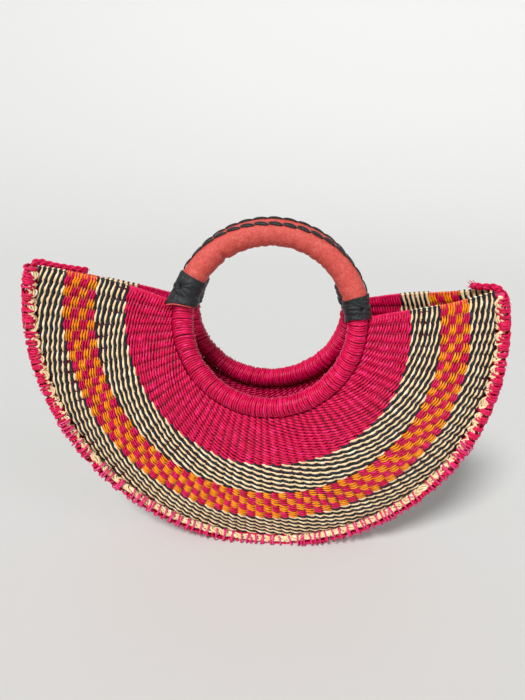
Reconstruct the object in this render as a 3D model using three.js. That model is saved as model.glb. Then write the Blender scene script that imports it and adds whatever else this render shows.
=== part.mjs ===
// A half-moon handbag of woven grass. Two fan-shaped walls are woven outwards from a pair of round
// hoops and joined along their curved edge by a braided rim. The upper part of each hoop is a
// leather grip, laced along its outer edge and bound to the weaving by a leather collar at each end.
//
// Millimetres, +Z up, +X to the right of someone facing the bag, front wall at -Y.
// The origin is under the middle of the bag, on the surface that it stands on.

import * as THREE from 'three';

// Rim: the braid that joins both walls along their curved edge.
const BAG_HALF_WIDTH = 215;
const RIM_DEPTH = 12;
const RIM_THICKNESS = 22;
const RIM_BEVEL = 2.5;
const RIM_SETTLE = 5; // how much of the lowest braid is pressed flat by the bag's weight
const RIM_END_RISE = 15; // degrees that the rim's ends lie above the middle of its circle
const RIM_LEAN = 0.05; // how far the rim's circle leans to the left, as a share of the height
const RIM_STEPS = 72;

// Hoops: grass wound round a ring, one for each wall.
const HOOP_RADIUS = 74;
const HOOP_TUBE = 8.8;
const HOOP_RAISE = 22; // height of the hoops' middle above the middle of the rim's circle
const HOOP_SHIFT = 2.5; // and how far it lies to the right of it
const MOUTH_DEPTH = 72; // between the hoops' centre lines at their lowest points
const TUBE_SIDES = 12;
const HOOP_STEPS = 48;

// Walls: grass twined round stakes that fan out from the hoop.
const STAKES = 50;
const WALL_AT_STAKE = 4.4;
const WALL_BETWEEN_STAKES = 2.8;
const WALL_OFFSET_AT_RIM = 5; // middle of each wall from the bag's middle plane, at the rim
const BELLY = 12; // how far a wall swells outwards at its lowest stake
const EDGE_BELLY = 4; // the same along its top edges
const LIFT_SPAN = 0.15; // share of the way round that rises with a wall's arched top edge

// Leather: grips, collars and lacing.
const GRIP_WALL = 1.6;
const COLLAR_WALL = 1.5;
const LEFT_COLLAR = 24; // length along the hoop
const RIGHT_COLLAR = 18;
const COLLAR_LAP = 8; // length of grip that a collar covers
const COLLAR_RAISE = 1.6; // from a wall's top edge to the collar above it
const COLLAR_SNUG = 0.8; // share of the way up to the grip's end where a collar is snug round the hoop
const LACE_WIDTH = 5;
const LACE_CROWN = 3; // width of its top
const LACE_THICKNESS = 1.8;

// Tails: the ends of the rim's braid, laid back along the walls' top edges.
const TAIL_RADIUS = 3;
const TAIL_SLOPE = 5; // degrees that a tail falls towards the hoop
const TAIL_STEPS = 12;
const TAIL_SIDES = 8;

// Gap between pieces that touch.
const GAP = 0.3;

// The way that each side faces, its wall's top edges in degrees above the hoop's middle, how far the
// left one arches up, and how many degrees its lacing wanders outwards from the grip's outer edge.
const SIDES = [
  { name: 'front', facing: -1, rightEdge: 4.5, leftEdge: 8, leftArch: 4.5, laceRoll: 48 },
  { name: 'back', facing: 1, rightEdge: 9, leftEdge: 4, leftArch: 0, laceRoll: 0 },
];

// Sections of a wall from hoop to rim: share of the way, and share of the stakes' relief that shows.
const WALL_SECTIONS = [
  { along: 0, relief: 0.5 },
  { along: 0.13, relief: 1 },
  { along: 0.35, relief: 1 },
  { along: 0.6, relief: 0.8 },
  { along: 0.82, relief: 0.6 },
  { along: 1, relief: 0.4 },
];

// A tail's length in its own radii, and its centre line from the rim's end: `along` is a share of its
// length, measured down the slope, and `up` and `back` are in radii.
const TAILS = [
  { name: 'rim_tail_left', towards: 1, radii: 15, path: [
    { along: -0.008, up: 0.14, back: 0 },
    { along: 0, up: 0.85, back: 0 },
    { along: 0.1, up: 1.45, back: 0.1 },
    { along: 0.27, up: 1.1, back: 0.3 },
    { along: 0.6, up: 0.7, back: 0.9 },
    { along: 1, up: 0.6, back: 1.4 },
  ] },
  { name: 'rim_tail_right', towards: -1, radii: 7.5, path: [
    { along: -0.015, up: 0.14, back: 0 },
    { along: 0, up: 0.85, back: 0 },
    { along: 0.2, up: 1.5, back: 0.2 },
    { along: 0.6, up: 1.6, back: 0.6 },
    { along: 1, up: 1.9, back: 1 },
  ] },
];

const RIM_RADIUS = BAG_HALF_WIDTH - RIM_DEPTH / 2;
const RIM_CENTRE_HEIGHT = BAG_HALF_WIDTH - RIM_SETTLE;
const HOOP_HEIGHT = RIM_CENTRE_HEIGHT + HOOP_RAISE;
const GRIP_INNER = HOOP_TUBE + GAP;
const GRIP_OUTER = GRIP_INNER + GRIP_WALL;
const COLLAR_OUTER = GRIP_OUTER + GAP + COLLAR_WALL;
const GRIPS_APART = 2 * GRIP_OUTER + GAP; // between the hoops' centre lines at their tops
const HOOP_TILT = Math.asin((MOUTH_DEPTH - GRIPS_APART) / 2 / (2 * HOOP_RADIUS));
const HOOP_OUT = (MOUTH_DEPTH + GRIPS_APART) / 4;
const LEFT_COLLAR_DEGREES = THREE.MathUtils.radToDeg(LEFT_COLLAR / HOOP_RADIUS);
const RIGHT_COLLAR_DEGREES = THREE.MathUtils.radToDeg(RIGHT_COLLAR / HOOP_RADIUS);
const LAP_DEGREES = THREE.MathUtils.radToDeg(COLLAR_LAP / HOOP_RADIUS);
const RAISE_DEGREES = THREE.MathUtils.radToDeg(COLLAR_RAISE / HOOP_RADIUS);
const GAP_DEGREES = THREE.MathUtils.radToDeg(GAP / HOOP_RADIUS);

const grass = new THREE.MeshStandardMaterial({ color: 0xc41244, roughness: 0.62, metalness: 0 });
const hoopGrass = new THREE.MeshStandardMaterial({ color: 0xb8103f, roughness: 0.6, metalness: 0 });
const rimGrass = new THREE.MeshStandardMaterial({ color: 0xd0586a, roughness: 0.7, metalness: 0 });
const redLeather = new THREE.MeshStandardMaterial({ color: 0xc44a3c, roughness: 0.5, metalness: 0 });
const blackLeather = new THREE.MeshStandardMaterial({ color: 0x23282d, roughness: 0.45, metalness: 0 });

const { lerp, degToRad } = THREE.MathUtils;

// Builds a mesh from a list of points and a list of four-cornered or three-cornered faces.
function meshOf(name, points, faces, material) {
  const triangles = [];
  for (const face of faces) {
    for (let k = 1; k + 1 < face.length; k += 1) {
      triangles.push(face[0], face[k], face[k + 1]);
    }
  }
  const geometry = new THREE.BufferGeometry();
  geometry.setAttribute('position', new THREE.Float32BufferAttribute(points.flatMap((p) => p.toArray()), 3));
  geometry.setIndex(triangles);
  geometry.computeVertexNormals();
  const mesh = new THREE.Mesh(geometry, material);
  mesh.name = name;
  return mesh;
}

// A solid bar: each section is the same number of points, anticlockwise as seen from the bar's far end.
function bar(name, sections, material) {
  const sides = sections[0].length;
  const faces = [];
  for (let i = 0; i + 1 < sections.length; i += 1) {
    for (let j = 0; j < sides; j += 1) {
      const next = (j + 1) % sides;
      faces.push([i * sides + j, i * sides + next, (i + 1) * sides + next, (i + 1) * sides + j]);
    }
  }
  const first = Array.from({ length: sides }, (_, j) => sides - 1 - j);
  const last = Array.from({ length: sides }, (_, j) => (sections.length - 1) * sides + j);
  faces.push(first, last);
  return meshOf(name, sections.flat(), faces, material);
}

// A wall between two grids of points, outer and inner. Rows may close on themselves.
function shell(name, outer, inner, rowsClose, material) {
  const rows = outer.length;
  const columns = outer[0].length;
  const under = rows * columns;
  const faces = [];
  const at = (i, j) => i * columns + (j % columns);
  const lastColumn = rowsClose ? columns : columns - 1;
  for (let i = 0; i + 1 < rows; i += 1) {
    for (let j = 0; j < lastColumn; j += 1) {
      const quad = [at(i, j), at(i, j + 1), at(i + 1, j + 1), at(i + 1, j)];
      faces.push(quad, quad.map((k) => k + under).reverse());
    }
  }
  for (let j = 0; j < lastColumn; j += 1) {
    faces.push([at(0, j + 1), at(0, j), at(0, j) + under, at(0, j + 1) + under]);
    faces.push([at(rows - 1, j), at(rows - 1, j + 1), at(rows - 1, j + 1) + under, at(rows - 1, j) + under]);
  }
  if (!rowsClose) {
    for (let i = 0; i + 1 < rows; i += 1) {
      faces.push([at(i, 0), at(i + 1, 0), at(i + 1, 0) + under, at(i, 0) + under]);
      const end = columns - 1;
      faces.push([at(i + 1, end), at(i, end), at(i, end) + under, at(i + 1, end) + under]);
    }
  }
  return meshOf(name, [...outer.flat(), ...inner.flat()], faces, material);
}

// A point beside a hoop's centre line, in the hoop's own frame: `turn` degrees round the hoop from its
// right side, `out` away from the hoop's middle, and `across` along its axis.
function besideHoop(turn, out, across) {
  const radius = HOOP_RADIUS + out;
  return new THREE.Vector3(
    radius * Math.cos(degToRad(turn)),
    across,
    radius * Math.sin(degToRad(turn)),
  );
}

// One ring of points round a hoop's tube. The rings run anticlockwise as seen from larger turns.
function tubeRing(turn, tubeRadius) {
  return Array.from({ length: TUBE_SIDES }, (_, j) => {
    const roll = (2 * Math.PI * j) / TUBE_SIDES;
    return besideHoop(turn, tubeRadius * Math.cos(roll), tubeRadius * Math.sin(roll));
  });
}

// Equal steps from one angle to another, no longer than the hoops' own steps.
function turnsBetween(start, end) {
  const steps = Math.round((HOOP_STEPS * Math.abs(end - start)) / 360);
  return Array.from({ length: steps + 1 }, (_, i) => lerp(start, end, i / steps));
}

// The whole ring.
function hoop(name) {
  const geometry = new THREE.TorusGeometry(HOOP_RADIUS, HOOP_TUBE, TUBE_SIDES, HOOP_STEPS);
  geometry.rotateX(Math.PI / 2);
  const mesh = new THREE.Mesh(geometry, hoopGrass);
  mesh.name = name;
  return mesh;
}

// The leather sleeve sewn over the top of a hoop.
function grip(name, start, end) {
  const turns = turnsBetween(start, end);
  const outer = turns.map((turn) => tubeRing(turn, GRIP_OUTER));
  const inner = turns.map((turn) => tubeRing(turn, GRIP_INNER));
  return shell(name, outer, inner, true, redLeather);
}

// A leather band over the grip's end, snug round the bare hoop below it.
function collar(name, low, high, gripEnd) {
  const step = Math.sign(high - low);
  const lip = gripEnd - step * 2 * GAP_DEGREES;
  const sections = [
    { turn: low, inner: HOOP_TUBE + GAP, outer: COLLAR_OUTER },
    { turn: lerp(low, lip, COLLAR_SNUG), inner: HOOP_TUBE + GAP, outer: COLLAR_OUTER },
    { turn: lip, inner: GRIP_OUTER + GAP, outer: COLLAR_OUTER },
    { turn: high, inner: GRIP_OUTER + GAP, outer: COLLAR_OUTER },
  ];
  if (step < 0) {
    sections.reverse();
  }
  const outer = sections.map((s) => tubeRing(s.turn, s.outer));
  const inner = sections.map((s) => tubeRing(s.turn, s.inner));
  return shell(name, outer, inner, true, blackLeather);
}

// The strip of lacing along a grip's outer edge. At the top it has wandered round the grip by `roll`.
function lacing(name, start, end, roll) {
  const seat = GRIP_OUTER + GAP;
  const profile = [
    [seat, LACE_WIDTH / 2],
    [seat, -LACE_WIDTH / 2],
    [seat + LACE_THICKNESS, -LACE_CROWN / 2],
    [seat + LACE_THICKNESS, LACE_CROWN / 2],
  ];
  const sections = turnsBetween(start, end).map((turn) => {
    const here = degToRad(roll) * Math.sin((Math.PI * (turn - start)) / (end - start));
    const cosine = Math.cos(here);
    const sine = Math.sin(here);
    return profile.map(([out, across]) => (
      besideHoop(turn, out * cosine - across * sine, out * sine + across * cosine)
    ));
  });
  return bar(name, sections, blackLeather);
}

// A group that holds what sits on one hoop, leaning so that the two grips meet at the top.
function hoopGroup(side) {
  const group = new THREE.Group();
  const right = { low: side.rightEdge + RAISE_DEGREES, step: 1, length: RIGHT_COLLAR_DEGREES };
  const left = { low: 180 - side.leftEdge - RAISE_DEGREES, step: -1, length: LEFT_COLLAR_DEGREES };
  for (const end of [right, left]) {
    end.high = end.low + end.step * end.length;
    end.grip = end.high - end.step * LAP_DEGREES;
    end.lace = end.high + end.step * GAP_DEGREES;
  }
  group.add(hoop(`${side.name}_hoop`));
  group.add(grip(`${side.name}_grip`, right.grip, left.grip));
  group.add(collar(`${side.name}_collar_right`, right.low, right.high, right.grip));
  group.add(collar(`${side.name}_collar_left`, left.low, left.high, left.grip));
  group.add(lacing(`${side.name}_lacing`, right.lace, left.lace, side.facing * side.laceRoll));
  group.position.set(HOOP_SHIFT, side.facing * HOOP_OUT, HOOP_HEIGHT);
  group.rotation.x = side.facing * HOOP_TILT;
  group.updateMatrix();
  return group;
}

// A point in the rim's plane or beside it, by its angle and radius in the rim's circle.
function besideRim(turn, radius, across) {
  const rise = radius * Math.sin(degToRad(turn));
  return new THREE.Vector3(
    radius * Math.cos(degToRad(turn)) - RIM_LEAN * rise,
    across,
    RIM_CENTRE_HEIGHT + rise,
  );
}

// One woven wall: a fan from the hoop's lower edge to the rim, thicker over each stake.
function wall(side, group) {
  const columns = 2 * STAKES + 1;
  const seat = HOOP_TUBE + GAP;
  const rimSeat = BAG_HALF_WIDTH - RIM_DEPTH - GAP;
  const axis = new THREE.Vector3(0, side.facing, 0);
  const hoopAxis = axis.clone().applyEuler(group.rotation);

  // The middle surface: `round` and `along` are shares of the way round the fan and out to the rim.
  function middle(round, along) {
    const hoopTurn = lerp(180 - side.leftEdge, 360 + side.rightEdge, round);
    const rimTurn = lerp(180 - RIM_END_RISE, 360 + RIM_END_RISE, round);
    const from = besideHoop(hoopTurn, seat, 0).applyMatrix4(group.matrix);
    const to = besideRim(rimTurn, rimSeat, side.facing * WALL_OFFSET_AT_RIM);
    const swell = lerp(EDGE_BELLY, BELLY, Math.sin(Math.PI * round));
    const arch = side.leftArch * Math.max(0, 1 - round / LIFT_SPAN) ** 2;
    const bulge = new THREE.Vector3(0, side.facing * swell, arch);
    return from.lerp(to, along).addScaledVector(bulge, 4 * along * (1 - along));
  }

  // The direction through the wall. At its ends the wall is cut square to what it meets.
  function through(round, along) {
    if (along === 0) return hoopAxis;
    if (along === 1) return axis;
    const nudge = 1e-3;
    const across = middle(round + nudge, along).sub(middle(round - nudge, along));
    const outwards = middle(round, along + nudge).sub(middle(round, along - nudge));
    const normal = across.cross(outwards).normalize();
    return normal.multiplyScalar(Math.sign(normal.dot(axis)));
  }

  const face = (direction) => WALL_SECTIONS.map(({ along, relief }) => (
    Array.from({ length: columns }, (_, j) => {
      const round = j / (columns - 1);
      const overStake = j % 2 === 1 ? relief : 0;
      const thickness = lerp(WALL_BETWEEN_STAKES, WALL_AT_STAKE, overStake);
      return middle(round, along).addScaledVector(through(round, along), (direction * thickness) / 2);
    })
  ));
  const back = face(side.facing);
  const front = face(-side.facing);
  return shell(`${side.name}_wall`, back, front, false, grass);
}

// The braid along the curved edge, pressed flat where the bag stands on it.
function rim() {
  const half = RIM_DEPTH / 2;
  const side = RIM_THICKNESS / 2;
  const profile = [
    [half, RIM_BEVEL - side],
    [half, side - RIM_BEVEL],
    [half - RIM_BEVEL, side],
    [RIM_BEVEL - half, side],
    [-half, side - RIM_BEVEL],
    [-half, RIM_BEVEL - side],
    [RIM_BEVEL - half, -side],
    [half - RIM_BEVEL, -side],
  ];
  const sections = Array.from({ length: RIM_STEPS + 1 }, (_, i) => {
    const turn = lerp(180 - RIM_END_RISE, 360 + RIM_END_RISE, i / RIM_STEPS);
    return profile.map(([out, across]) => {
      const point = besideRim(turn, RIM_RADIUS + out, across);
      point.z = Math.max(point.z, 0);
      return point;
    });
  });
  return bar('rim_braid', sections, rimGrass);
}

// A braid's end: it leaves the rim's end upwards and bends over to lie along the top edge.
function tail({ name, towards, radii, path }) {
  const start = besideRim(90 + towards * (90 - RIM_END_RISE), RIM_RADIUS, 0);
  const slope = degToRad(TAIL_SLOPE);
  const down = new THREE.Vector3(towards * Math.cos(slope), 0, -Math.sin(slope));
  const up = new THREE.Vector3(towards * Math.sin(slope), 0, Math.cos(slope));
  const behind = new THREE.Vector3(0, 1, 0);
  const curve = new THREE.CatmullRomCurve3(path.map((point) => start.clone()
    .addScaledVector(down, point.along * radii * TAIL_RADIUS)
    .addScaledVector(up, point.up * TAIL_RADIUS)
    .addScaledVector(behind, point.back * TAIL_RADIUS)));
  const section = new THREE.Shape(Array.from({ length: TAIL_SIDES }, (_, j) => {
    const roll = (2 * Math.PI * j) / TAIL_SIDES;
    return new THREE.Vector2(TAIL_RADIUS * Math.cos(roll), TAIL_RADIUS * Math.sin(roll));
  }));
  const geometry = new THREE.ExtrudeGeometry(section, {
    steps: TAIL_STEPS,
    extrudePath: curve,
    bevelEnabled: false,
  });
  const mesh = new THREE.Mesh(geometry, hoopGrass);
  mesh.name = name;
  return mesh;
}

const handbag = new THREE.Group();
for (const side of SIDES) {
  const group = hoopGroup(side);
  handbag.add(group);
  handbag.add(wall(side, group));
}
handbag.add(rim());
for (const row of TAILS) {
  handbag.add(tail(row));
}

export default handbag;
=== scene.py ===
# The looks of a half-moon handbag woven from dyed grass.
#
# Lengths are in millimetres in the row frame and become metres when a mesh is made. The walls are rows
# of twining: each row is two strands of grass that cross between the stakes, one in front of each stake
# and one behind it. Hoops are wound with fine grass, the rim is overcast, and the grips are leather.

import math

import bpy
import numpy as np
from mathutils import Matrix, Vector


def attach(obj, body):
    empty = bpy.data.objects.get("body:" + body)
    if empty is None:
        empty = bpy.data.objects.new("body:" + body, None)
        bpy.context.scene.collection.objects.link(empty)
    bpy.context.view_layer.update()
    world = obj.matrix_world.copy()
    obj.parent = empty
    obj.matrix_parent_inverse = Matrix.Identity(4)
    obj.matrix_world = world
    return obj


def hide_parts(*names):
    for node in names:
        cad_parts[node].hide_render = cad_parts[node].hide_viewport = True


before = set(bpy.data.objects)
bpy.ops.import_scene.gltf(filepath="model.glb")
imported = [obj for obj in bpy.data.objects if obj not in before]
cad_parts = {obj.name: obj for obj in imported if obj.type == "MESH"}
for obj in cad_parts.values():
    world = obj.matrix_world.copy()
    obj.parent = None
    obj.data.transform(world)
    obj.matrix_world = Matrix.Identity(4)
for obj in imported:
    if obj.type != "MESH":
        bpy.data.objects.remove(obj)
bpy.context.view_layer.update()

MM = 0.001

# Sizes that the solids have too.
BAG_HALF_WIDTH = 215.0
RIM_DEPTH = 12.0
RIM_THICKNESS = 22.0
RIM_SETTLE = 5.0
RIM_END_RISE = 15.0
RIM_LEAN = 0.05
HOOP_RADIUS = 74.0
HOOP_TUBE = 8.8
HOOP_RAISE = 22.0
HOOP_SHIFT = 2.5
MOUTH_DEPTH = 72.0
WALL_OFFSET_AT_RIM = 5.0
BELLY = 12.0
EDGE_BELLY = 4.0
LIFT_SPAN = 0.15
GRIP_WALL = 1.6
COLLAR_WALL = 1.5
LEFT_COLLAR = 24.0
RIGHT_COLLAR = 18.0
COLLAR_LAP = 8.0
COLLAR_RAISE = 1.6
GAP = 0.3
SIDES = {
    "front": {"facing": -1, "right_edge": 4.5, "left_edge": 8.0, "left_arch": 4.5, "lace_roll": 48.0},
    "back": {"facing": 1, "right_edge": 9.0, "left_edge": 4.0, "left_arch": 0.0, "lace_roll": 0.0},
}

RIM_RADIUS = BAG_HALF_WIDTH - RIM_DEPTH / 2
RIM_CENTRE_HEIGHT = BAG_HALF_WIDTH - RIM_SETTLE
HOOP_HEIGHT = RIM_CENTRE_HEIGHT + HOOP_RAISE
GRIP_INNER = HOOP_TUBE + GAP
GRIP_OUTER = GRIP_INNER + GRIP_WALL
COLLAR_OUTER = GRIP_OUTER + GAP + COLLAR_WALL
GRIPS_APART = 2 * GRIP_OUTER + GAP
HOOP_TILT = math.asin((MOUTH_DEPTH - GRIPS_APART) / 2 / (2 * HOOP_RADIUS))
HOOP_OUT = (MOUTH_DEPTH + GRIPS_APART) / 4
LEFT_COLLAR_DEGREES = math.degrees(LEFT_COLLAR / HOOP_RADIUS)
RIGHT_COLLAR_DEGREES = math.degrees(RIGHT_COLLAR / HOOP_RADIUS)
LAP_DEGREES = math.degrees(COLLAR_LAP / HOOP_RADIUS)
RAISE_DEGREES = math.degrees(COLLAR_RAISE / HOOP_RADIUS)

# Camera: it looks a little down on the bag, and the photograph is turned a few degrees.
CAMERA_PLACE = (-2.6, -485.4, 361.6)
CAMERA_PITCH = 18.5
CAMERA_ROLL = 3.2
PHOTO_HEIGHT = 700
FOCAL_PIXELS = 566.0
SENSOR = 36.0

# Zones of the walls from hoop to rim. A colour pair changes places every `shift` rows. `width` is in
# even steps of the wall. For each strand of the pair, `fullness` is its width as a share of a row's,
# `waist` how much of that is left between the stakes, and `raised` how far it lies outwards there.
ZONES = [
    {"name": "crimson", "width": 15.8, "rows": 16, "columns": 50, "colours": ("crimson", "crimson"),
     "shift": 1, "relief": 1.55, "fullness": (0.46, 0.46), "waist": (0.52, 0.52), "raised": (0.0, 0.0)},
    {"name": "inner_lines", "width": 11.1, "rows": 12, "columns": 50, "colours": ("black", "cream"),
     "shift": 1, "relief": 1.2, "fullness": (0.58, 0.54), "waist": (1.0, 0.55), "raised": (0.4, -0.4)},
    {"name": "checks", "width": 11.5, "rows": 12, "columns": 72, "colours": ("orange", "crimson"),
     "shift": 3, "relief": 1.4, "fullness": (0.43, 0.43), "waist": (0.5, 0.5), "raised": (0.0, 0.0)},
    {"name": "outer_lines", "width": 10.6, "rows": 10, "columns": 72, "colours": ("black", "cream"),
     "shift": 1, "relief": 1.15, "fullness": (0.58, 0.54), "waist": (1.0, 0.55), "raised": (0.4, -0.4)},
]
WALL_STEPS = sum(zone["width"] for zone in ZONES)

# Dyes, as linear colours: the body of a strand, its lighter fibres and its dark ones. One entry is no dye
# but painted shade: a near-black red for the stakes and the hoop rings, so the gaps between strands look
# dark.
DYES_AND_PAINTED_SHADE = {
    "crimson": {"body": (0.64, 0.0, 0.056), "light": (0.9, 0.02, 0.19), "dark": (0.15, 0.0, 0.01)},
    # Painted shade, not a dye: near-black red that makes the gaps between strands and between coils look
    # dark.
    "painted_shade": {"body": (0.11, 0.0, 0.009), "light": (0.2, 0.005, 0.025), "dark": (0.05, 0.0, 0.004)},
    "pink": {"body": (0.72, 0.02, 0.15), "light": (0.88, 0.14, 0.34), "dark": (0.4, 0.0, 0.05)},
    "orange": {"body": (0.88, 0.25, 0.0), "light": (0.96, 0.45, 0.01), "dark": (0.42, 0.07, 0.0)},
    "cream": {"body": (0.9, 0.66, 0.37), "light": (0.97, 0.9, 0.7), "dark": (0.6, 0.3, 0.1)},
    "black": {"body": (0.006, 0.008, 0.012), "light": (0.03, 0.038, 0.052), "dark": (0.002, 0.002, 0.003)},
}
GRASS_ROUGHNESS = 0.38
GRASS_SPECULAR = 0.27
GRASS_BUMP = 0.6

# Leathers, as linear colours, with how deep their wrinkles look. The dark colour of each is painted shade,
# laid into the hollows of the creases.
LEATHERS = {
    "red": {"body": (0.6, 0.078, 0.06), "light": (0.7, 0.14, 0.115), "dark": (0.46, 0.045, 0.033),
            "roughness": 0.55, "wrinkle": 0.7},
    "black": {"body": (0.009, 0.011, 0.014), "light": (0.02, 0.024, 0.03), "dark": (0.003, 0.004, 0.005),
              "roughness": 0.45, "wrinkle": 0.7},
    "cut_edge": {"body": (0.45, 0.25, 0.12), "light": (0.6, 0.38, 0.2), "dark": (0.25, 0.12, 0.05),
                 "roughness": 0.7, "wrinkle": 0.3},
}
LEATHER_SPECULAR = 0.4
PEBBLES_IN_METRE = 1500.0

Y_AXIS = np.array([0.0, 1.0, 0.0])


def lerp(a, b, share):
    """The value at a share of the way from a to b."""
    return a + (b - a) * share


def unit(vectors):
    return vectors / np.maximum(np.linalg.norm(vectors, axis=-1, keepdims=True), 1e-9)


def dot(a, b):
    return (a * b).sum(axis=-1, keepdims=True)


def beside_hoop(side, turn, out, across):
    """Points beside a hoop's centre line: degrees round it, distance outwards and along its axis."""
    turn = np.radians(np.asarray(turn, float))
    facing = SIDES[side]["facing"]
    tilt = facing * HOOP_TILT
    radius = HOOP_RADIUS + out
    x = radius * np.cos(turn) + HOOP_SHIFT
    up = radius * np.sin(turn)
    y = across * math.cos(tilt) - up * math.sin(tilt) + facing * HOOP_OUT
    z = across * math.sin(tilt) + up * math.cos(tilt) + HOOP_HEIGHT
    return np.stack(np.broadcast_arrays(x, y, z), axis=-1)


def beside_rim(turn, radius, across):
    """Points by their degrees and radius in the rim's circle, and distance from its plane."""
    turn = np.radians(np.asarray(turn, float))
    rise = radius * np.sin(turn)
    x = radius * np.cos(turn) - RIM_LEAN * rise
    return np.stack(np.broadcast_arrays(x, across, RIM_CENTRE_HEIGHT + rise), axis=-1)


def on_wall(side, around, along):
    """Points on a wall's middle surface: shares of the way round the fan and out to the rim."""
    facing = SIDES[side]["facing"]
    hoop_turn = lerp(180 - SIDES[side]["left_edge"], 360 + SIDES[side]["right_edge"], around)
    rim_turn = lerp(180 - RIM_END_RISE, 360 + RIM_END_RISE, around)
    start = beside_hoop(side, hoop_turn, HOOP_TUBE + GAP, 0.0)
    end = beside_rim(rim_turn, BAG_HALF_WIDTH - RIM_DEPTH - GAP, facing * WALL_OFFSET_AT_RIM)
    points = start + (end - start) * along[..., None]
    swell = lerp(EDGE_BELLY, BELLY, np.sin(np.pi * np.clip(around, 0, 1)))
    arch = SIDES[side]["left_arch"] * np.clip(1 - around / LIFT_SPAN, 0, None) ** 2
    points[..., 1] += facing * 4 * swell * along * (1 - along)
    points[..., 2] += 4 * arch * along * (1 - along)
    return points


def wall_frame(side, around, along):
    """Points on a wall, with its outward normal and the step from one row to the next."""
    nudge = 1e-3
    point = on_wall(side, around, along)
    across = on_wall(side, around + nudge, along) - on_wall(side, around - nudge, along)
    outward = on_wall(side, around, along + nudge) - on_wall(side, around, along - nudge)
    row_step = outward / (2 * nudge) / WALL_STEPS
    normal = unit(np.cross(across, outward))
    normal *= np.sign(normal[..., 1:2]) * SIDES[side]["facing"]
    return point, normal, row_step


def wander(seed, *coordinates):
    """A smooth, seeded unevenness between about -1 and 1."""
    rng = np.random.default_rng(seed)
    total = 0.0
    for _ in range(5):
        wave = rng.uniform(0, 2 * np.pi)
        for coordinate in coordinates:
            wave = wave + rng.normal(0, 1) * coordinate
        total = total + np.sin(wave)
    return total / 3.0


def sweep(paths, wide, half_width, half_thick, ids, sides=6):
    """Strands of oval section along many paths at once. `wide` is the way that the flat of a strand lies."""
    count, steps, _ = paths.shape
    tangent = unit(np.gradient(paths, axis=1))
    wide = np.broadcast_to(wide, paths.shape)
    wide = unit(wide - tangent * dot(wide, tangent))
    thick = np.cross(tangent, wide)
    half_width = np.broadcast_to(half_width, (count, steps))[:, :, None, None]
    half_thick = np.broadcast_to(half_thick, (count, steps))[:, :, None, None]
    angle = 2 * np.pi * np.arange(sides) / sides
    cosine = np.cos(angle)[None, None, :, None]
    sine = np.sin(angle)[None, None, :, None]
    rings = paths[:, :, None] + cosine * half_width * wide[:, :, None] + sine * half_thick * thick[:, :, None]
    step_length = np.linalg.norm(np.diff(paths, axis=1), axis=-1)
    length = np.concatenate([np.zeros((count, 1)), np.cumsum(step_length, axis=1)], axis=1)
    grain = np.empty((count, steps, sides, 3))
    grain[..., 0] = np.asarray(ids, float)[:, None, None]
    grain[..., 1] = np.cos(angle)[None, None]
    grain[..., 2] = length[:, :, None]
    first = np.arange(count)[:, None, None] * steps * sides
    row = np.arange(steps - 1)[None, :, None] * sides
    here = np.arange(sides)[None, None]
    there = (here + 1) % sides
    a = first + row + here
    b = first + row + there
    quads = np.stack([a, b, b + sides, a + sides], axis=-1).reshape(-1, 4)
    starts = np.arange(count)[:, None] * steps * sides
    near = starts + np.arange(sides)[None, ::-1]
    far = starts + (steps - 1) * sides + np.arange(sides)[None]
    return {
        "points": rings.reshape(-1, 3),
        "grain": grain.reshape(-1, 3),
        "faces": [(quads, True), (near, False), (far, False)],
    }


def sheet(points):
    """A grid of points as a shape without fibres, with each row closed on itself."""
    rows, columns, _ = points.shape
    grain = np.zeros(points.shape)
    grain[..., 2] = 1.0
    i = np.arange(rows - 1)[:, None] * columns
    j = np.arange(columns)[None]
    k = (j + 1) % columns
    quads = np.stack([i + j, i + k, i + k + columns, i + j + columns], axis=-1).reshape(-1, 4)
    return {
        "points": points.reshape(-1, 3),
        "grain": grain.reshape(-1, 3),
        "faces": [(quads, True)],
    }


def add_piece(name, parts, replaced):
    """Joins parts, each a pair of a shape and its material, into one object that rides on the bag."""
    materials = []
    points, grain, loops, starts, smooth, material_index = [], [], [], [], [], []
    point_count = 0
    loop_count = 0
    for shape, material in parts:
        if material not in materials:
            materials.append(material)
        points.append(shape["points"])
        grain.append(shape["grain"])
        for faces, is_smooth in shape["faces"]:
            corners = faces.shape[1]
            loops.append((faces + point_count).ravel())
            starts.append(loop_count + corners * np.arange(len(faces)))
            smooth.append(np.full(len(faces), is_smooth))
            material_index.append(np.full(len(faces), materials.index(material)))
            loop_count += faces.size
        point_count += len(shape["points"])
    mesh = bpy.data.meshes.new(name)
    mesh.vertices.add(point_count)
    mesh.vertices.foreach_set("co", (np.concatenate(points) * MM).astype(np.float32).ravel())
    mesh.loops.add(loop_count)
    mesh.loops.foreach_set("vertex_index", np.concatenate(loops).astype(np.int32))
    mesh.polygons.add(sum(len(s) for s in starts))
    mesh.polygons.foreach_set("loop_start", np.concatenate(starts).astype(np.int32))
    mesh.polygons.foreach_set("material_index", np.concatenate(material_index).astype(np.int32))
    mesh.polygons.foreach_set("use_smooth", np.concatenate(smooth))
    mesh.update(calc_edges=True)
    attribute = mesh.attributes.new("grain", "FLOAT_VECTOR", "POINT")
    attribute.data.foreach_set("vector", np.concatenate(grain).astype(np.float32).ravel())
    for material in materials:
        mesh.materials.append(material)
    piece = bpy.data.objects.new(name, mesh)
    bpy.context.scene.collection.objects.link(piece)
    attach(piece, "root")
    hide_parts(*replaced)


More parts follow.
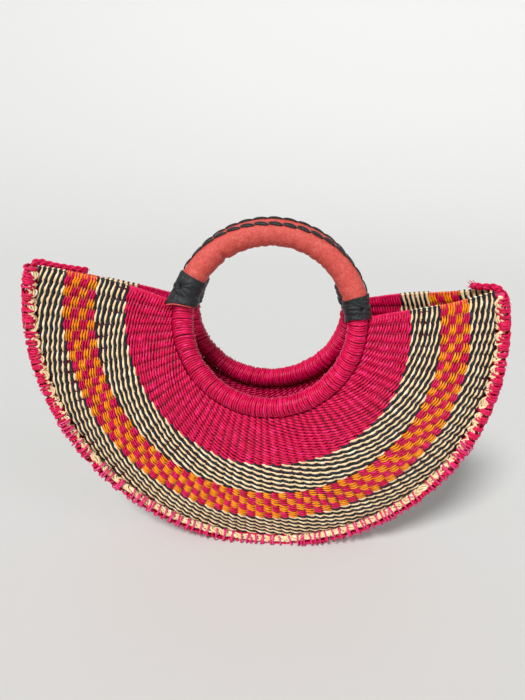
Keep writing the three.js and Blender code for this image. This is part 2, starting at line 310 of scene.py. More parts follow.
class Nodes:
    """Short calls for a material's nodes."""

    def __init__(self, name):
        self.material = bpy.data.materials.new(name)
        self.material.use_nodes = True
        self.tree = self.material.node_tree
        self.shader = self.tree.nodes["Principled BSDF"]

    def add(self, kind, settings=None, **inputs):
        node = self.tree.nodes.new(kind)
        for key, value in (settings or {}).items():
            setattr(node, key, value)
        for key, value in inputs.items():
            self.set(node.inputs[key.replace("_", " ")], value)
        return node

    def set(self, socket, value):
        if isinstance(value, bpy.types.NodeSocket):
            self.tree.links.new(value, socket)
        else:
            socket.default_value = value

    def maths(self, operation, a, b):
        node = self.add("ShaderNodeMath", {"operation": operation})
        self.set(node.inputs[0], a)
        self.set(node.inputs[1], b)
        return node.outputs[0]

    def mix(self, share, a, b):
        node = self.add("ShaderNodeMix", {"data_type": "RGBA"})
        self.set(node.inputs[0], share)
        self.set(node.inputs[6], a)
        self.set(node.inputs[7], b)
        return node.outputs[2]

    def spread(self, value, low, high):
        node = self.add("ShaderNodeMapRange", {"interpolation_type": "SMOOTHSTEP"})
        self.set(node.inputs["Value"], value)
        self.set(node.inputs["From Min"], low)
        self.set(node.inputs["From Max"], high)
        return node.outputs["Result"]

    def grain(self, stretch):
        """Coordinates of the grass itself: strand, place across it and distance along it."""
        attribute = self.add("ShaderNodeAttribute", {"attribute_name": "grain"})
        node = self.add("ShaderNodeVectorMath", {"operation": "MULTIPLY"})
        self.set(node.inputs[0], attribute.outputs["Vector"])
        self.set(node.inputs[1], stretch)
        return node.outputs[0]

    def noise(self, vector, scale, detail=3.0, rough=0.55):
        node = self.add("ShaderNodeTexNoise", Scale=scale, Detail=detail, Roughness=rough)
        self.set(node.inputs["Vector"], vector)
        return node.outputs["Fac"]

    def object_place(self):
        return self.add("ShaderNodeTexCoord").outputs["Object"]

    def bump(self, height, strength, distance):
        node = self.add("ShaderNodeBump", Strength=strength, Distance=distance)
        self.set(node.inputs["Height"], height)
        self.set(self.shader.inputs["Normal"], node.outputs["Normal"])


def rgba(colour):
    return (*colour, 1.0)


def grass(name):
    """Dyed grass: fine fibres along each strand, with strands and stretches of uneven dye."""
    dye = DYES_AND_PAINTED_SHADE[name]
    nodes = Nodes("grass_" + name)
    fibres = nodes.noise(nodes.grain((61.0, 2.6, 0.09)), 1.7)
    patches = nodes.noise(nodes.grain((43.0, 0.3, 0.16)), 1.0, 1.0)
    body = nodes.mix(nodes.spread(fibres, 0.5, 0.78), rgba(dye["body"]), rgba(dye["light"]))
    worn = nodes.mix(nodes.spread(fibres, 0.5, 0.28), body, rgba(dye["dark"]))
    pale = nodes.mix(nodes.spread(patches, 0.5, 0.8), worn, rgba(dye["light"]))
    nodes.set(nodes.shader.inputs["Base Color"], pale)
    nodes.set(nodes.shader.inputs["Roughness"], GRASS_ROUGHNESS)
    nodes.set(nodes.shader.inputs["Specular IOR Level"], GRASS_SPECULAR)
    nodes.bump(fibres, GRASS_BUMP, 0.0005)
    return nodes.material


def leather(name, body, light, dark, roughness, wrinkle):
    """Thin leather: a fine pebble, creases and rubbed patches."""
    nodes = Nodes("leather_" + name)
    place = nodes.object_place()
    pebble = nodes.add("ShaderNodeTexVoronoi", {"feature": "DISTANCE_TO_EDGE"}, Scale=PEBBLES_IN_METRE)
    nodes.set(pebble.inputs["Vector"], place)
    creases = nodes.noise(place, 480.0, 6.0, 0.7)
    clouds = nodes.noise(place, 160.0, 5.0, 0.7)
    rubbed = nodes.mix(nodes.spread(clouds, 0.38, 0.75), rgba(body), rgba(light))
    # Painted shade: the dark colour goes where the crease noise is low, in the hollows that the bump makes.
    tone = nodes.mix(nodes.spread(creases, 0.66, 0.3), rubbed, rgba(dark))
    nodes.set(nodes.shader.inputs["Base Color"], tone)
    nodes.set(nodes.shader.inputs["Roughness"], roughness)
    nodes.set(nodes.shader.inputs["Specular IOR Level"], LEATHER_SPECULAR)
    height = nodes.maths("ADD", creases, nodes.maths("MULTIPLY", pebble.outputs["Distance"], 0.6))
    nodes.bump(height, wrinkle, 0.0006)
    return nodes.material


# Besides the dyed grasses, this makes one painted shade material: the near-black red of the stakes and the
# hoop rings.
GRASS = {name: grass(name) for name in DYES_AND_PAINTED_SHADE}
LEATHER = {name: leather(name, **row) for name, row in LEATHERS.items()}

# Twining. The reach past the last stake is in columns, the swing and jitter of a row in steps of the wall.
STEPS_IN_COLUMN = 4
SIDE_SPREAD = 0.07
TURN_REACH = 0.32
ROW_SWING = 0.4
ROW_JITTER = 0.05
ROW_WANDER = 0.22
COLUMN_WANDER = 0.16
WALL_UNEVENNESS = 0.5
RELIEF_JITTER = 0.12
WIDTH_JITTER = 0.09
STRAND_HALF_THICK = 0.74
EDGE_THICKENING = 0.25
STAKE_HALF_THICK = 0.5
STAKE_FULLNESS = 0.54
STAKE_STEPS = 7
STAKE_LAP = 0.3


def stake_place(share):
    """Where a share of the stakes lies on the way round the fan: they stand wider apart at the sides."""
    return share + SIDE_SPREAD * np.sin(2 * np.pi * share) / (2 * np.pi)


def wall_strands(side, zone, first_step, partner, seed):
    """Every row of one zone, for one of its two strands, as paths that weave in front and behind."""
    columns = zone["columns"]
    inner = np.arange(columns * STEPS_IN_COLUMN + 1) / STEPS_IN_COLUMN
    turn_back = np.array([0.5, 1.0])
    reach = TURN_REACH * np.sin(turn_back * np.pi / 2)
    settle = np.cos(turn_back * np.pi / 2)
    column = np.concatenate([-reach[::-1], inner, columns + reach])
    hold = np.concatenate([settle[::-1], np.ones(len(inner)), settle])
    rows = np.arange(zone["rows"])
    phase = partner + rows // zone["shift"] % 2
    beat = np.pi * (np.clip(column, 0, columns)[None] - 0.5 + phase[:, None])
    row_width = zone["width"] / zone["rows"]
    place = first_step + row_width * (rows[:, None] + 0.5 + ROW_SWING * np.sin(beat) * hold[None])
    around = np.broadcast_to(stake_place(column / columns)[None], place.shape)
    stretch = 55.0 * around
    around = around + COLUMN_WANDER / columns * wander(seed + 1, stretch * 0.8, place * 0.12)
    place = place + ROW_WANDER * wander(seed + 2, stretch * 0.5, place * 0.4)
    rng = np.random.default_rng([seed, round(first_step), partner])
    place = place + ROW_JITTER * rng.normal(size=place.shape) * hold[None]
    place = np.clip(place, 0.35, WALL_STEPS - 0.2)
    point, normal, step = wall_frame(side, around, place / WALL_STEPS)
    relief = zone["relief"] * (1 + RELIEF_JITTER * rng.normal(size=place.shape))
    unevenness = WALL_UNEVENNESS * wander(seed + 3, stretch * 0.35, place * 0.25)
    at_side = lerp(-0.1, 1.0, np.abs(2 * np.clip(around, 0, 1) - 1))
    raised = zone["raised"][partner] * at_side * np.sin(beat) ** 2
    paths = point + normal * (relief * np.cos(beat) * hold[None] + raised + unevenness)[..., None]
    pitch = np.linalg.norm(step, axis=-1) * row_width
    edge = np.exp(-((np.clip(np.minimum(column, columns - column), 0, None) / 0.5) ** 2))
    plump = lerp(zone["waist"][partner], 1.0, np.maximum(np.cos(beat) ** 2, edge[None]))
    half_width = pitch * zone["fullness"][partner] * plump * (1 + WIDTH_JITTER * rng.normal(size=place.shape))
    half_thick = STRAND_HALF_THICK + EDGE_THICKENING * edge[None] + 0 * place
    return sweep(paths, unit(step), half_width, half_thick, rng.uniform(0, 1, len(rows)))


def wall_stakes(side, zone, first_step):
    """The stakes that the rows are twined round."""
    columns = zone["columns"]
    around = stake_place((np.arange(columns)[:, None] + 0.5) / columns) + np.zeros((1, STAKE_STEPS))
    share = np.linspace(0, 1, STAKE_STEPS)
    along = lerp(first_step - STAKE_LAP, first_step + zone["width"] + STAKE_LAP, share)[None] / WALL_STEPS
    along = np.clip(np.broadcast_to(along, around.shape), 0.0, 1.0)
    point, normal, _ = wall_frame(side, around, along)
    apart = np.linalg.norm(on_wall(side, around + 1 / columns, along) - point, axis=-1)
    return sweep(point, normal, STAKE_HALF_THICK, STAKE_FULLNESS * apart, np.linspace(0, 1, columns), 8)


def add_wall(side, seed):
    """A wall in one piece for each zone: its stakes and the rows twined round them."""
    first_step = 0
    for zone in ZONES:
        # The stakes are drawn in the near-black red painted shade, so the gaps between the rows look dark.
        parts = [(wall_stakes(side, zone, first_step), GRASS["painted_shade"])]
        for partner, colour in enumerate(zone["colours"]):
            parts.append((wall_strands(side, zone, first_step, partner, seed), GRASS[colour]))
        add_piece(f"{side}_wall_{zone['name']}", parts, [f"{side}_wall"])
        first_step += zone["width"]


def collar_ends(side):
    """Degrees of each collar's lower and upper end."""
    right = SIDES[side]["right_edge"] + RAISE_DEGREES
    left = 180 - SIDES[side]["left_edge"] - RAISE_DEGREES
    return {"right": (right, right + RIGHT_COLLAR_DEGREES), "left": (left, left - LEFT_COLLAR_DEGREES)}


# Winding of the hoops: coils of grass round a plain ring, which is coloured with painted shade so that the
# gaps between coils look dark. The dye is a little different in each coil.
COIL_PITCH = 2.0
COIL_STEPS = 16
COIL_SLANT = 2.8
COIL_SUNK = 0.8
COIL_HALF_WIDTH = 0.93
COIL_HALF_THICK = 0.95
COIL_SIDES = 6
DYE_STEP = 0.173
RING_RADIUS = 7.3


def round_hoop(side, turn, roll, radius):
    """Points round a hoop's tube, by degrees along the hoop and radians round the tube."""
    return beside_hoop(side, turn, radius * np.cos(roll), radius * np.sin(roll))


def add_hoop(side, seed):
    """Fine grass wound round the ring, coil beside coil."""
    ends = collar_ends(side)
    start = ends["left"][1]
    stop = 360 + ends["right"][1]
    coils = round(math.radians(stop - start) * HOOP_RADIUS / COIL_PITCH)
    share = np.linspace(0, 1, coils * COIL_STEPS + 1)
    rng = np.random.default_rng(seed)
    roll = 2 * np.pi * share * coils
    jitter = np.repeat(rng.normal(size=coils + 1), COIL_STEPS)[: len(share)]
    slant = math.degrees(COIL_SLANT / HOOP_RADIUS) * np.sin(roll)
    turn = lerp(start, stop, share) + slant + 0.13 * jitter + 0.2 * wander(seed + 1, share * 900)
    radius = HOOP_TUBE - COIL_SUNK + 0.3 * jitter + 0.2 * wander(seed, share * 60)
    path = round_hoop(side, turn, roll, radius)[None]
    ahead = round_hoop(side, turn + 0.5, roll, radius)[None]
    coil = sweep(path, unit(ahead - path), COIL_HALF_WIDTH, COIL_HALF_THICK, [0.5], COIL_SIDES)
    coil["grain"][:, 0] = np.repeat(np.floor(share * coils) * DYE_STEP % 1, COIL_SIDES)
    ring_turn = np.linspace(0, 360, 73)[None]
    # Painted shade: the ring under the coils is near-black red, so the gaps between coils look dark.
    ring = sweep(beside_hoop(side, ring_turn, 0.0, 0.0), Y_AXIS, RING_RADIUS, RING_RADIUS, [0.2], 16)
    parts = [(coil, GRASS["crimson"]), (ring, GRASS["painted_shade"])]
    add_piece(f"{side}_hoop_winding", parts, [f"{side}_hoop"])


def lace_roll(side, turn):
    """How far round the grip the lacing lies, in radians: it wanders outwards towards the top."""
    ends = collar_ends(side)
    share = np.clip((turn - ends["right"][1]) / (ends["left"][1] - ends["right"][1]), 0, 1)
    return math.radians(SIDES[side]["facing"] * SIDES[side]["lace_roll"]) * np.sin(np.pi * share)


# Grips. The seam spreads in radians round the grip, and the notch in degrees along it.
CREASE_DEPTH = 0.95
FINE_CREASE_DEPTH = 0.12
SEAM_DEPTH = 0.6
SEAM_SPREAD = 0.16
GRIP_UNEVENNESS = 0.16
NOTCH_TURN = 128.0
NOTCH_SPREAD = 1.5
NOTCH_DEPTH = {"front": 3.2, "back": 0.0}


def add_grip(side, seed):
    """A leather sleeve: creased on the inside of the bend and drawn together along the outside."""
    ends = collar_ends(side)
    start = ends["right"][1] - LAP_DEGREES
    stop = ends["left"][1] + LAP_DEGREES
    turn = np.linspace(start, stop, 221)[:, None]
    roll = np.linspace(0, 2 * np.pi, 41)[None, :-1]
    inside = np.clip(-np.cos(roll), 0, 1) ** 0.7
    arc = np.radians(turn) * HOOP_RADIUS
    creases = 1 - np.abs(wander(seed, arc * 0.55, roll * 1.3)) ** 0.6
    fine = wander(seed + 1, arc * 1.3, roll * 3.0)
    from_lace = np.abs(np.angle(np.exp(1j * (roll - lace_roll(side, turn)))))
    seam = np.exp(-((from_lace / SEAM_SPREAD) ** 2))
    radius = GRIP_OUTER - CREASE_DEPTH * inside * creases - FINE_CREASE_DEPTH * fine * inside
    radius = radius - SEAM_DEPTH * seam
    radius = radius + GRIP_UNEVENNESS * wander(seed + 2, arc * 0.1, roll)
    notch = np.exp(-(((turn - NOTCH_TURN) / NOTCH_SPREAD) ** 2)) * np.clip(-np.cos(roll - 0.4), 0, 1) ** 3
    radius = radius - NOTCH_DEPTH[side] * notch
    outer = round_hoop(side, turn, roll, radius)
    inner = round_hoop(side, turn, roll, GRIP_INNER + 0 * radius)
    grid = np.concatenate([inner[:1], outer, inner[-1:]])
    add_piece(f"{side}_grip_leather", [(sheet(grid), LEATHER["red"])], [f"{side}_grip"])


# Lacing
LACE_STITCH = 12.5
LACE_END_GAP = 0.5
THONG_HALF_WIDTH = 2.0
THONG_HALF_THICK = 0.6
CUT_EDGE_REACH = 1.9


def add_lacing(side, seed):
    """A flat thong twisted along the crown: black faces with the cut edge showing between them."""
    ends = collar_ends(side)
    start = ends["right"][1] + LACE_END_GAP
    stop = ends["left"][1] - LACE_END_GAP
    crown = HOOP_RADIUS + GRIP_OUTER
    count = round(math.radians(stop - start) * crown / LACE_STITCH)
    rng = np.random.default_rng(seed)

    def beside_lace(turn, out, across):
        roll = lace_roll(side, turn)
        rolled_out = out * np.cos(roll) - across * np.sin(roll)
        return beside_hoop(side, turn, rolled_out, out * np.sin(roll) + across * np.cos(roll))

    share = np.linspace(0, 1, 13)[None]
    place = np.arange(count)[:, None]
    lean = 1.0 + 0.12 * rng.normal(size=(count, 1))
    turn = start + (stop - start) / count * (place + 0.5 + (share - 0.5))
    across = lean * (2 * share - 1)
    lift = 0.2 + 1.0 * np.sin(np.pi * share) ** 0.6
    paths = beside_lace(turn, GRIP_OUTER - 0.4 + lift, across)
    axis = beside_lace(turn, GRIP_OUTER, 1.0) - beside_lace(turn, GRIP_OUTER, 0.0)
    half_width = THONG_HALF_WIDTH * (0.15 + 0.85 * np.sin(np.pi * share) ** 0.35) + 0 * lean
    black = sweep(paths, axis, half_width, THONG_HALF_THICK, rng.uniform(0, 1, count), 8)
    edge_share = np.linspace(0, 1, 5)[None]
    edge_place = np.arange(1, count)[:, None]
    edge_turn = start + (stop - start) / count * (edge_place + (edge_share - 0.5) * 0.7)
    edge_paths = beside_lace(edge_turn, GRIP_OUTER + 0.35, CUT_EDGE_REACH * (1 - 2 * edge_share))
    edge_axis = beside_lace(edge_turn, GRIP_OUTER, 1.0) - beside_lace(edge_turn, GRIP_OUTER, 0.0)
    edge = sweep(edge_paths, edge_axis, 0.3, 0.25, rng.uniform(0, 1, count - 1), 5)
    parts = [(black, LEATHER["black"]), (edge, LEATHER["cut_edge"])]
    add_piece(f"{side}_lacing_thong", parts, [f"{side}_lacing"])


# Collars. `hole` is how far up a stitch hole lies, as a share, and where it lies round the hoop, in radians.
COLLARS = [
    {"side": "front", "end": "left", "hole": (0.55, -0.95), "flare": 5.0, "taper": 0.4, "drop": 1.5},
    {"side": "front", "end": "right", "hole": (0.45, -1.25), "flare": 0.6, "taper": 1.4, "drop": 4.5},
    {"side": "back", "end": "left", "hole": (0.5, 0.9), "flare": 3.0, "taper": 0.8, "drop": 2.0},
    {"side": "back", "end": "right", "hole": (0.5, 0.9), "flare": 2.0, "taper": 0.8, "drop": 2.0},
]
PLEATS = 13
PLEAT_HEIGHT = 0.95
PLEAT_REACH = 8.0
WRINKLE_HEIGHT = 0.55
HOLE_DEPTH = 4.0
HOLE_RADIUS = 1.7
RED_LIP_START = 3.9
RED_LIP_STOP = 5.9
RED_LIP_SUNK = 0.9


def add_collar(side, end, hole, flare, taper, drop, seed):
    """A wrinkled leather band, pleated round a stitch hole and flared over the wall's top edge."""
    low, high = collar_ends(side)[end]
    share = np.linspace(0, 1, 41)[:, None]
    roll = np.linspace(0, 2 * np.pi, 97)[None, :-1]
    hole_share, hole_roll = hole
    away = np.angle(np.exp(1j * (roll - hole_roll))) * COLLAR_OUTER
    up = (share - hole_share) * (LEFT_COLLAR if end == "left" else RIGHT_COLLAR)
    distance = np.hypot(away, up)
    pleats = np.cos(PLEATS * np.arctan2(up, away)) * np.exp(-((distance / PLEAT_REACH) ** 2))
    pleats = pleats * (distance > 0.1)
    wrinkles = wander(seed, share * 9.0, roll * 1.2) + 0.7 * wander(seed + 1, share * 26.0, roll * 3.0)
    outside = np.clip(np.cos(roll), 0, 1)
    radius = COLLAR_OUTER - 0.5 + PLEAT_HEIGHT * pleats + WRINKLE_HEIGHT * wrinkles
    radius = radius + flare * (1 - share) ** 3 * outside ** 3 - taper * (1 - share)
    under = lerp(HOOP_TUBE + 0.9, GRIP_OUTER + 0.45, np.clip(2.5 * share, 0, 1))
    hole_shape = np.exp(-((distance / HOLE_RADIUS) ** 2))
    radius = np.maximum(radius, under + 0.15 * wrinkles) - HOLE_DEPTH * hole_shape
    reach = -0.6 * flare * outside ** 4 * (1 - share) ** 2
    reach = reach - drop * np.clip(-np.cos(roll - 0.5 * hole_roll), 0, 1) * (1 - share) ** 2
    ragged = 0.35 * wander(seed + 2, roll * 2.0)
    sign = 1 if high > low else -1
    turn = lerp(low, high, share) + sign * np.degrees((reach + ragged * (share > 0.5)) / HOOP_RADIUS)
    turn = turn + 0 * roll
    outer = round_hoop(side, turn, roll, radius)
    inner_low = round_hoop(side, turn[:1], roll, radius[:1] - 1.2)
    inner_mid = round_hoop(side, turn[4:5], roll, HOOP_TUBE + 0.5 + 0 * roll)
    inner_high = round_hoop(side, turn[-1:], roll, GRIP_OUTER - 0.1 + 0 * roll)
    grid = np.concatenate([inner_mid, inner_low, outer, inner_high])
    if sign < 0:
        grid = grid[::-1]
    parts = [(sheet(grid), LEATHER["black"])]
    if (side, end) == ("front", "left"):
        shown = (roll[0] > RED_LIP_START) & (roll[0] < RED_LIP_STOP)
        edge_turn = turn[:1, shown] - sign * 0.6
        edge = round_hoop(side, edge_turn, roll[:, shown], radius[:1, shown] - RED_LIP_SUNK)
        beyond = round_hoop(side, edge_turn + 0.5, roll[:, shown], radius[:1, shown] - RED_LIP_SUNK)
        parts.append((sweep(edge, unit(beyond - edge), 0.7, 0.35, [0.5], 6), LEATHER["red"]))
    add_piece(f"{side}_collar_{end}_leather", parts, [f"{side}_collar_{end}"])


# Rim. The bed and the raised hairs are placed in degrees round the rim.
RIM_SQUARENESS = 0.72
RIM_STITCH = 7.9
RIM_HALF_DEPTH = 5.2
RIM_HALF_WIDTH = 10.2
RIM_LOWEST = 0.8
CORE_LOWEST = 3.9
BED_START = 212
BED_STOP = 328
WRAPS_IN_STITCH = 5
BINDING_STRANDS = 2
BUNDLE_STRANDS = 5
BUNDLE_STEPS = 8
BUNDLE_ACROSS = 9.0
HAIRS = 130
HAIR_HALF_WIDTH = 0.14
HAIRS_RAISED_BEFORE = 235
HAIRS_RAISED_AFTER = 305


def rim_profile(angle, out_scale, across_scale):
    """A rounded oblong: distance outwards from the rim's centre line and across it."""
    cosine = np.cos(angle)
    sine = np.sin(angle)
    out = out_scale * np.sign(cosine) * np.abs(cosine) ** RIM_SQUARENESS
    across = across_scale * np.sign(sine) * np.abs(sine) ** RIM_SQUARENESS
    return out, across


def rim_points(turn, out, across, lowest=RIM_LOWEST):
    """Points beside the rim's centre line, none of them lower than `lowest`."""
    points = beside_rim(turn, RIM_RADIUS + out, across)
    points[..., 2] = np.maximum(points[..., 2], lowest)
    return points


def rim_wraps(turn, angle, swell, half_width, half_thick, rng):
    """Strands that go round the rim's section, by their degrees along the rim and round the section."""
    start = 180 - RIM_END_RISE + 0.1
    stop = 360 + RIM_END_RISE - 0.1
    turn = np.clip(turn, start, stop)
    out, across = rim_profile(angle, RIM_HALF_DEPTH + swell, RIM_HALF_WIDTH + swell)
    paths = rim_points(turn, out, across)
    wide = rim_points(turn + 0.3, out, across) - rim_points(turn - 0.3, out, across)
    return sweep(paths, unit(wide), half_width, half_thick, rng.uniform(0, 1, len(paths)), 6)


def add_rim(seed):
    """Overcast rim: bundles of undyed grass bound with crimson strands, thick along the outside."""
    rng = np.random.default_rng(seed)
    start = 180 - RIM_END_RISE
    stop = 360 + RIM_END_RISE
    count = round(math.radians(stop - start) * RIM_RADIUS / RIM_STITCH)
    degrees = (stop - start) / count

    def bottom_share(turn):
        """How far a place belongs to the bottom of the rim, where the binding is thin."""
        return np.clip((72 - np.abs(turn - 270)) / 34, 0, 1)

    core_turn = np.linspace(start + 0.3, stop - 0.3, 145)[None]
    core = sweep(rim_points(core_turn, 0.4, 0.0, CORE_LOWEST), Y_AXIS, 8.4, 3.8, [0.3], 14)
    bed_turn = np.linspace(BED_START, BED_STOP, 81)[None]
    bed = sweep(rim_points(bed_turn, -2.6, 0.0), Y_AXIS, 8.6, 1.6, [0.3], 14)
    parts = [(core, GRASS["crimson"]), (bed, GRASS["cream"])]

    wraps = count * WRAPS_IN_STITCH
    place = (start + degrees * (np.arange(wraps) + 0.5) / WRAPS_IN_STITCH)[:, None]
    low = bottom_share(place)
    share = np.linspace(0, 1, 11)[None]
    over = (rng.uniform(size=(wraps, 1)) < 0.55) * (1 - low)
    reach = lerp(1.9, 1.2, low) + 0.65 * over + 0.2 * rng.normal(size=(wraps, 1))
    middle = 0.15 * rng.normal(size=(wraps, 1))
    angle = lerp(-reach, reach, share) + middle
    lean = degrees * (0.25 + 0.5 * rng.normal(size=(wraps, 1)))
    turn = place + lean * np.sin(angle) + 0.1 * degrees * rng.normal(size=(wraps, 1))
    lift = 0.3 + 0.4 * rng.uniform(size=(wraps, 1)) + 0.2 * np.sin(3 * angle + 6 * place) + 0.9 * over
    overcast = rim_wraps(turn, angle, lift, 1.1, 0.8, rng)
    parts.append((overcast, GRASS["crimson"]))

    place = (start + degrees * (np.arange(count) + 0.5))[:, None]
    low = bottom_share(place)
    for strand in range(BINDING_STRANDS):
        keep = (low[:, 0] > 0.15) & (rng.uniform(size=count) < 0.9 - 0.35 * strand)
        angle = lerp(-2.55, 2.55, np.linspace(0, 1, 17)[None]) + 0.08 * rng.normal(size=(count, 1))
        swell = 1.2 + 2.1 * np.sin(np.minimum(np.abs(angle), np.pi / 2)) ** 1.5
        lean = degrees * (0.12 + 0.2 * rng.normal(size=(count, 1)))
        turn = place + lean * np.sin(angle) + 0.2 * degrees * (strand - 0.5) * (1 + np.cos(2 * angle))
        parts.append((rim_wraps(turn[keep], angle[keep], swell[keep], 0.85, 0.5, rng), GRASS["pink"]))

    share = np.linspace(0, 1, count * BUNDLE_STEPS + 1)[None]
    beat = 2 * np.pi * share * count
    turn = lerp(start + 0.5, stop - 0.5, share)
    low = bottom_share(turn)
    for face in (-1, 1):
        for strand in range(BUNDLE_STRANDS):
            twist = 0.5 * beat + strand * 0.4 * np.pi + 0.6 * wander(seed + 5 * strand + face, share * 90)
            girth = lerp(1.35, 2.0, low) * (1 - 0.25 * np.cos(beat) * low)
            curl = lerp(2.0, 0.0, low) * np.cos(beat + 0.4 * wander(seed + 3 * face, share * 60))
            out = lerp(-3.7, -3.2, low) + curl + girth * np.sin(twist)
            across = face * (BUNDLE_ACROSS + 0.7 * girth * np.cos(twist) + 0.4 * np.clip(out + 3.5, -3, 1))
            along = turn + 0.2 * degrees * np.sin(beat + strand)
            paths = rim_points(along, out, across)
            outward = rim_points(along, out + 1, across) - paths
            half_width = 1.05 + 0.2 * wander(seed + 11 * strand, share * 250)
            parts.append((sweep(paths, outward, half_width, 0.75, [rng.uniform()], 6), GRASS["cream"]))

    root_turn = rng.uniform(start + 1, stop - 1, (HAIRS, 1))
    root_angle = rng.uniform(-1.9, 1.9, (HAIRS, 1))
    share = np.linspace(0, 1, 6)[None]
    length = rng.uniform(1.5, 4.5, (HAIRS, 1))
    bend = rng.normal(0, 0.9, (HAIRS, 1))
    out, across = rim_profile(root_angle, 5.6, 10.6)
    out = out + length * share * np.cos(root_angle) * (root_turn < HAIRS_RAISED_BEFORE)
    out = out + length * share * 0.5 * (root_turn > HAIRS_RAISED_AFTER)
    across = across + length * share * np.sin(root_angle)
    paths = rim_points(root_turn + bend * share ** 2 + 0.4 * bend * share, out, across)
    is_pink = rng.uniform(size=HAIRS) < 0.6
    for colour, chosen in (("pink", is_pink), ("cream", ~is_pink)):
        ids = rng.uniform(0, 1, chosen.sum())
        hair = sweep(paths[chosen], Y_AXIS, HAIR_HALF_WIDTH, HAIR_HALF_WIDTH, ids, 4)
        parts.append((hair, GRASS[colour]))
    add_piece("rim_overcast", parts, ["rim_braid"])


# Tails. `radii` is a tail's length, and each row of `path` is a share of it, then the rise and the way back.
TAIL_RADIUS = 3.0
TAIL_SLOPE = 5.0
TAIL_STEPS = 90
PLAIT_PITCH = 17.0
PLAIT_SWING = 1.5
PLAIT_CROSSING = 0.95
TAILS = [
    {"name": "left", "towards": 1, "radii": 15.0, "loose": 6, "path": [
        (-0.008, 0.14, 0.0), (0.0, 0.85, 0.0), (0.1, 1.45, 0.1),
        (0.27, 1.1, 0.3), (0.6, 0.7, 0.9), (1.0, 0.6, 1.4),
    ]},
    {"name": "right", "towards": -1, "radii": 7.5, "loose": 22, "path": [
        (-0.015, 0.14, 0.0), (0.0, 0.85, 0.0), (0.2, 1.5, 0.2), (0.6, 1.6, 0.6), (1.0, 1.9, 1.0),
    ]},
]


def smooth_path(points, count):
    """A smooth line through points, at equal steps."""
    points = np.asarray(points, float)
    knots = np.concatenate([[0], np.cumsum(np.linalg.norm(np.diff(points, axis=0), axis=1))])
    slopes = np.gradient(points, knots, axis=0)
    at = np.linspace(0, knots[-1], count)
    k = np.clip(np.searchsorted(knots, at) - 1, 0, len(points) - 2)
    gap = knots[k + 1] - knots[k]
    t = ((at - knots[k]) / gap)[:, None]
    gap = gap[:, None]
    rise = (2 * t ** 3 - 3 * t ** 2 + 1) * points[k] + (3 * t ** 2 - 2 * t ** 3) * points[k + 1]
    return rise + (t ** 3 - 2 * t ** 2 + t) * gap * slopes[k] + (t ** 3 - t ** 2) * gap * slopes[k + 1]


def add_tail(name, towards, radii, path, loose, seed):
    """A three-strand plait with `loose` stiff ends of grass that stand out of its free end."""
    length = radii * TAIL_RADIUS
    start = beside_rim(90 + towards * (90 - RIM_END_RISE), RIM_RADIUS, 0.0)
    slope = math.radians(TAIL_SLOPE)
    down = np.array([towards * math.cos(slope), 0.0, -math.sin(slope)])
    up = np.array([towards * math.sin(slope), 0.0, math.cos(slope)])
    centre = smooth_path([
        start + down * along * length + up * rise * TAIL_RADIUS + Y_AXIS * behind * TAIL_RADIUS
        for along, rise, behind in path
    ], TAIL_STEPS)
    tangent = unit(np.gradient(centre, axis=0))
    level = unit(Y_AXIS - tangent * dot(Y_AXIS, tangent))
    over = np.cross(tangent, level)
    rng = np.random.default_rng(seed)
    travel = np.linspace(0, length, TAIL_STEPS)
    paths = []
    for strand in range(9):
        beat = 2 * np.pi * (travel / PLAIT_PITCH + (strand % 3) / 3)
        spread = 0.75 * (strand // 3 - 1)
        sideways = PLAIT_SWING * np.sin(beat) + spread
        lift = PLAIT_CROSSING * np.sin(2 * beat) + 0.25 * rng.normal()
        lift = lift + 0.2 * wander(seed + strand, travel * 0.5)
        paths.append(centre + over * sideways[:, None] + level * lift[:, None])
    paths = np.array(paths)
    plait = sweep(paths, over[None], 0.95, 1.0, rng.uniform(0, 1, 9), 6)
    share = np.linspace(0, 1, 6)[None, :, None]
    root = centre[-rng.integers(4, 16, loose)] + 1.6 * unit(rng.normal(size=(loose, 3)))
    heading = unit(tangent[-1] + rng.normal(0, 0.55, (loose, 3)) + np.array([0.0, 0.0, 0.45]))
    ends = root[:, None] + heading[:, None] * share * rng.uniform(3.0, 6.0, (loose, 1, 1))
    ends = sweep(ends, level[-1], 0.7 * (1.1 - share[..., 0]), 0.3, rng.uniform(0, 1, loose), 5)
    parts = [(plait, GRASS["crimson"]), (ends, GRASS["crimson"])]
    add_piece(f"tail_{name}_plait", parts, [f"rim_tail_{name}"])


# Studio, in metres
FLOOR_FLAT = 0.5
FLOOR_START = 1.5
FLOOR_RUN = 6.0
FLOOR_RISE = 3.5
FLOOR_SIDES = 96
FLOOR_COLOUR = (0.6, 0.6, 0.585)
SKY_COLOUR = (0.96, 0.98, 1.0)
SKY_STRENGTH = 0.35
LIGHTS = [
    {"name": "key", "place": (-0.5, -1.1, 1.3), "softness": 16.0, "power": 3.3},
    {"name": "fill", "place": (1.2, -0.9, 0.7), "softness": 40.0, "power": 0.5},
]


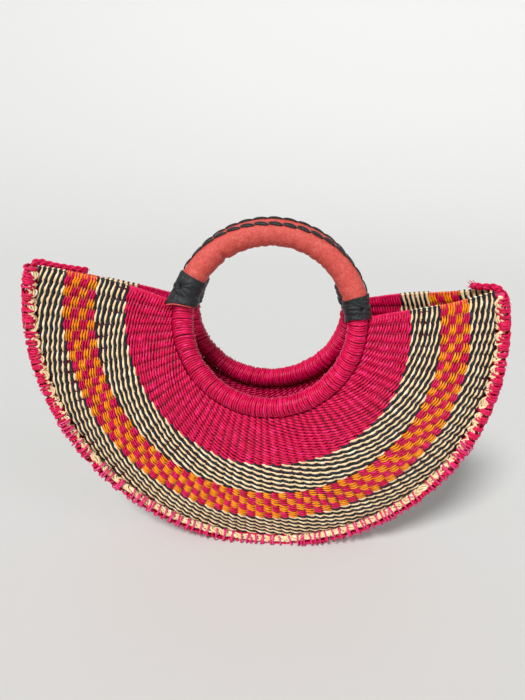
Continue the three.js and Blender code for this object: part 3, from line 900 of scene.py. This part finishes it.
def add_floor():
    """A pale floor that curves up gently all round, in metres."""
    profile = [(FLOOR_FLAT, 0.0)]
    for share in np.linspace(0, 1, 25):
        profile.append((FLOOR_START + FLOOR_RUN * share, FLOOR_RISE * share ** 2.2))
    sides = FLOOR_SIDES
    around = 2 * np.pi * np.arange(sides) / sides
    points = [(0.0, 0.0, 0.0)]
    for radius, height in profile:
        points += [(radius * math.cos(angle), radius * math.sin(angle), height) for angle in around]
    faces = [(0, 1 + j, 1 + (j + 1) % sides) for j in range(sides)]
    for i in range(len(profile) - 1):
        first = 1 + i * sides
        for j in range(sides):
            near = first + j
            far = first + (j + 1) % sides
            faces.append((near, near + sides, far + sides, far))
    mesh = bpy.data.meshes.new("floor")
    mesh.from_pydata(points, [], faces)
    mesh.polygons.foreach_set("use_smooth", np.full(len(faces), True))
    floor = bpy.data.objects.new("floor", mesh)
    bpy.context.scene.collection.objects.link(floor)
    nodes = Nodes("floor_paint")
    nodes.set(nodes.shader.inputs["Base Color"], rgba(FLOOR_COLOUR))
    nodes.set(nodes.shader.inputs["Roughness"], 0.8)
    mesh.materials.append(nodes.material)


def add_light(name, place, softness, power):
    """A soft light that shines from `place` towards the bag. `softness` is in degrees."""
    data = bpy.data.lights.new(name, "SUN")
    data.angle = math.radians(softness)
    data.energy = power
    light = bpy.data.objects.new(name, data)
    bpy.context.scene.collection.objects.link(light)
    light.location = place
    light.rotation_euler = Vector(place).to_track_quat("Z", "Y").to_euler()


def add_studio():
    """An even pale sky and the lights."""
    world = bpy.data.worlds.new("studio")
    world.use_nodes = True
    background = world.node_tree.nodes["Background"]
    background.inputs["Color"].default_value = rgba(SKY_COLOUR)
    background.inputs["Strength"].default_value = SKY_STRENGTH
    bpy.context.scene.world = world
    for row in LIGHTS:
        add_light(**row)


def add_camera():
    """The camera at the photograph's angle."""
    data = bpy.data.cameras.new("photo_camera")
    data.sensor_width = SENSOR
    data.lens = FOCAL_PIXELS * SENSOR / PHOTO_HEIGHT
    camera = bpy.data.objects.new("photo_camera", data)
    bpy.context.scene.collection.objects.link(camera)
    place = Matrix.Translation([value * MM for value in CAMERA_PLACE])
    pitch = Matrix.Rotation(math.radians(90 - CAMERA_PITCH), 4, "X")
    roll = Matrix.Rotation(math.radians(CAMERA_ROLL), 4, "Z")
    camera.matrix_world = place @ pitch @ roll
    bpy.context.scene.camera = camera
    bpy.context.scene.view_settings.view_transform = "Standard"


add_camera()
add_floor()
add_studio()

# The last value of each call is a seed, so each piece has random numbers of its own.
for number, side in enumerate(SIDES):
    add_wall(side, 100 + 50 * number)
    add_hoop(side, 200 + number)
    add_grip(side, 300 + 10 * number)
    add_lacing(side, 400 + number)
for number, row in enumerate(COLLARS):
    add_collar(**row, seed=500 + 10 * number)
add_rim(600)
for number, row in enumerate(TAILS):
    add_tail(**row, seed=700 + 20 * number)

bpy.context.view_layer.update()
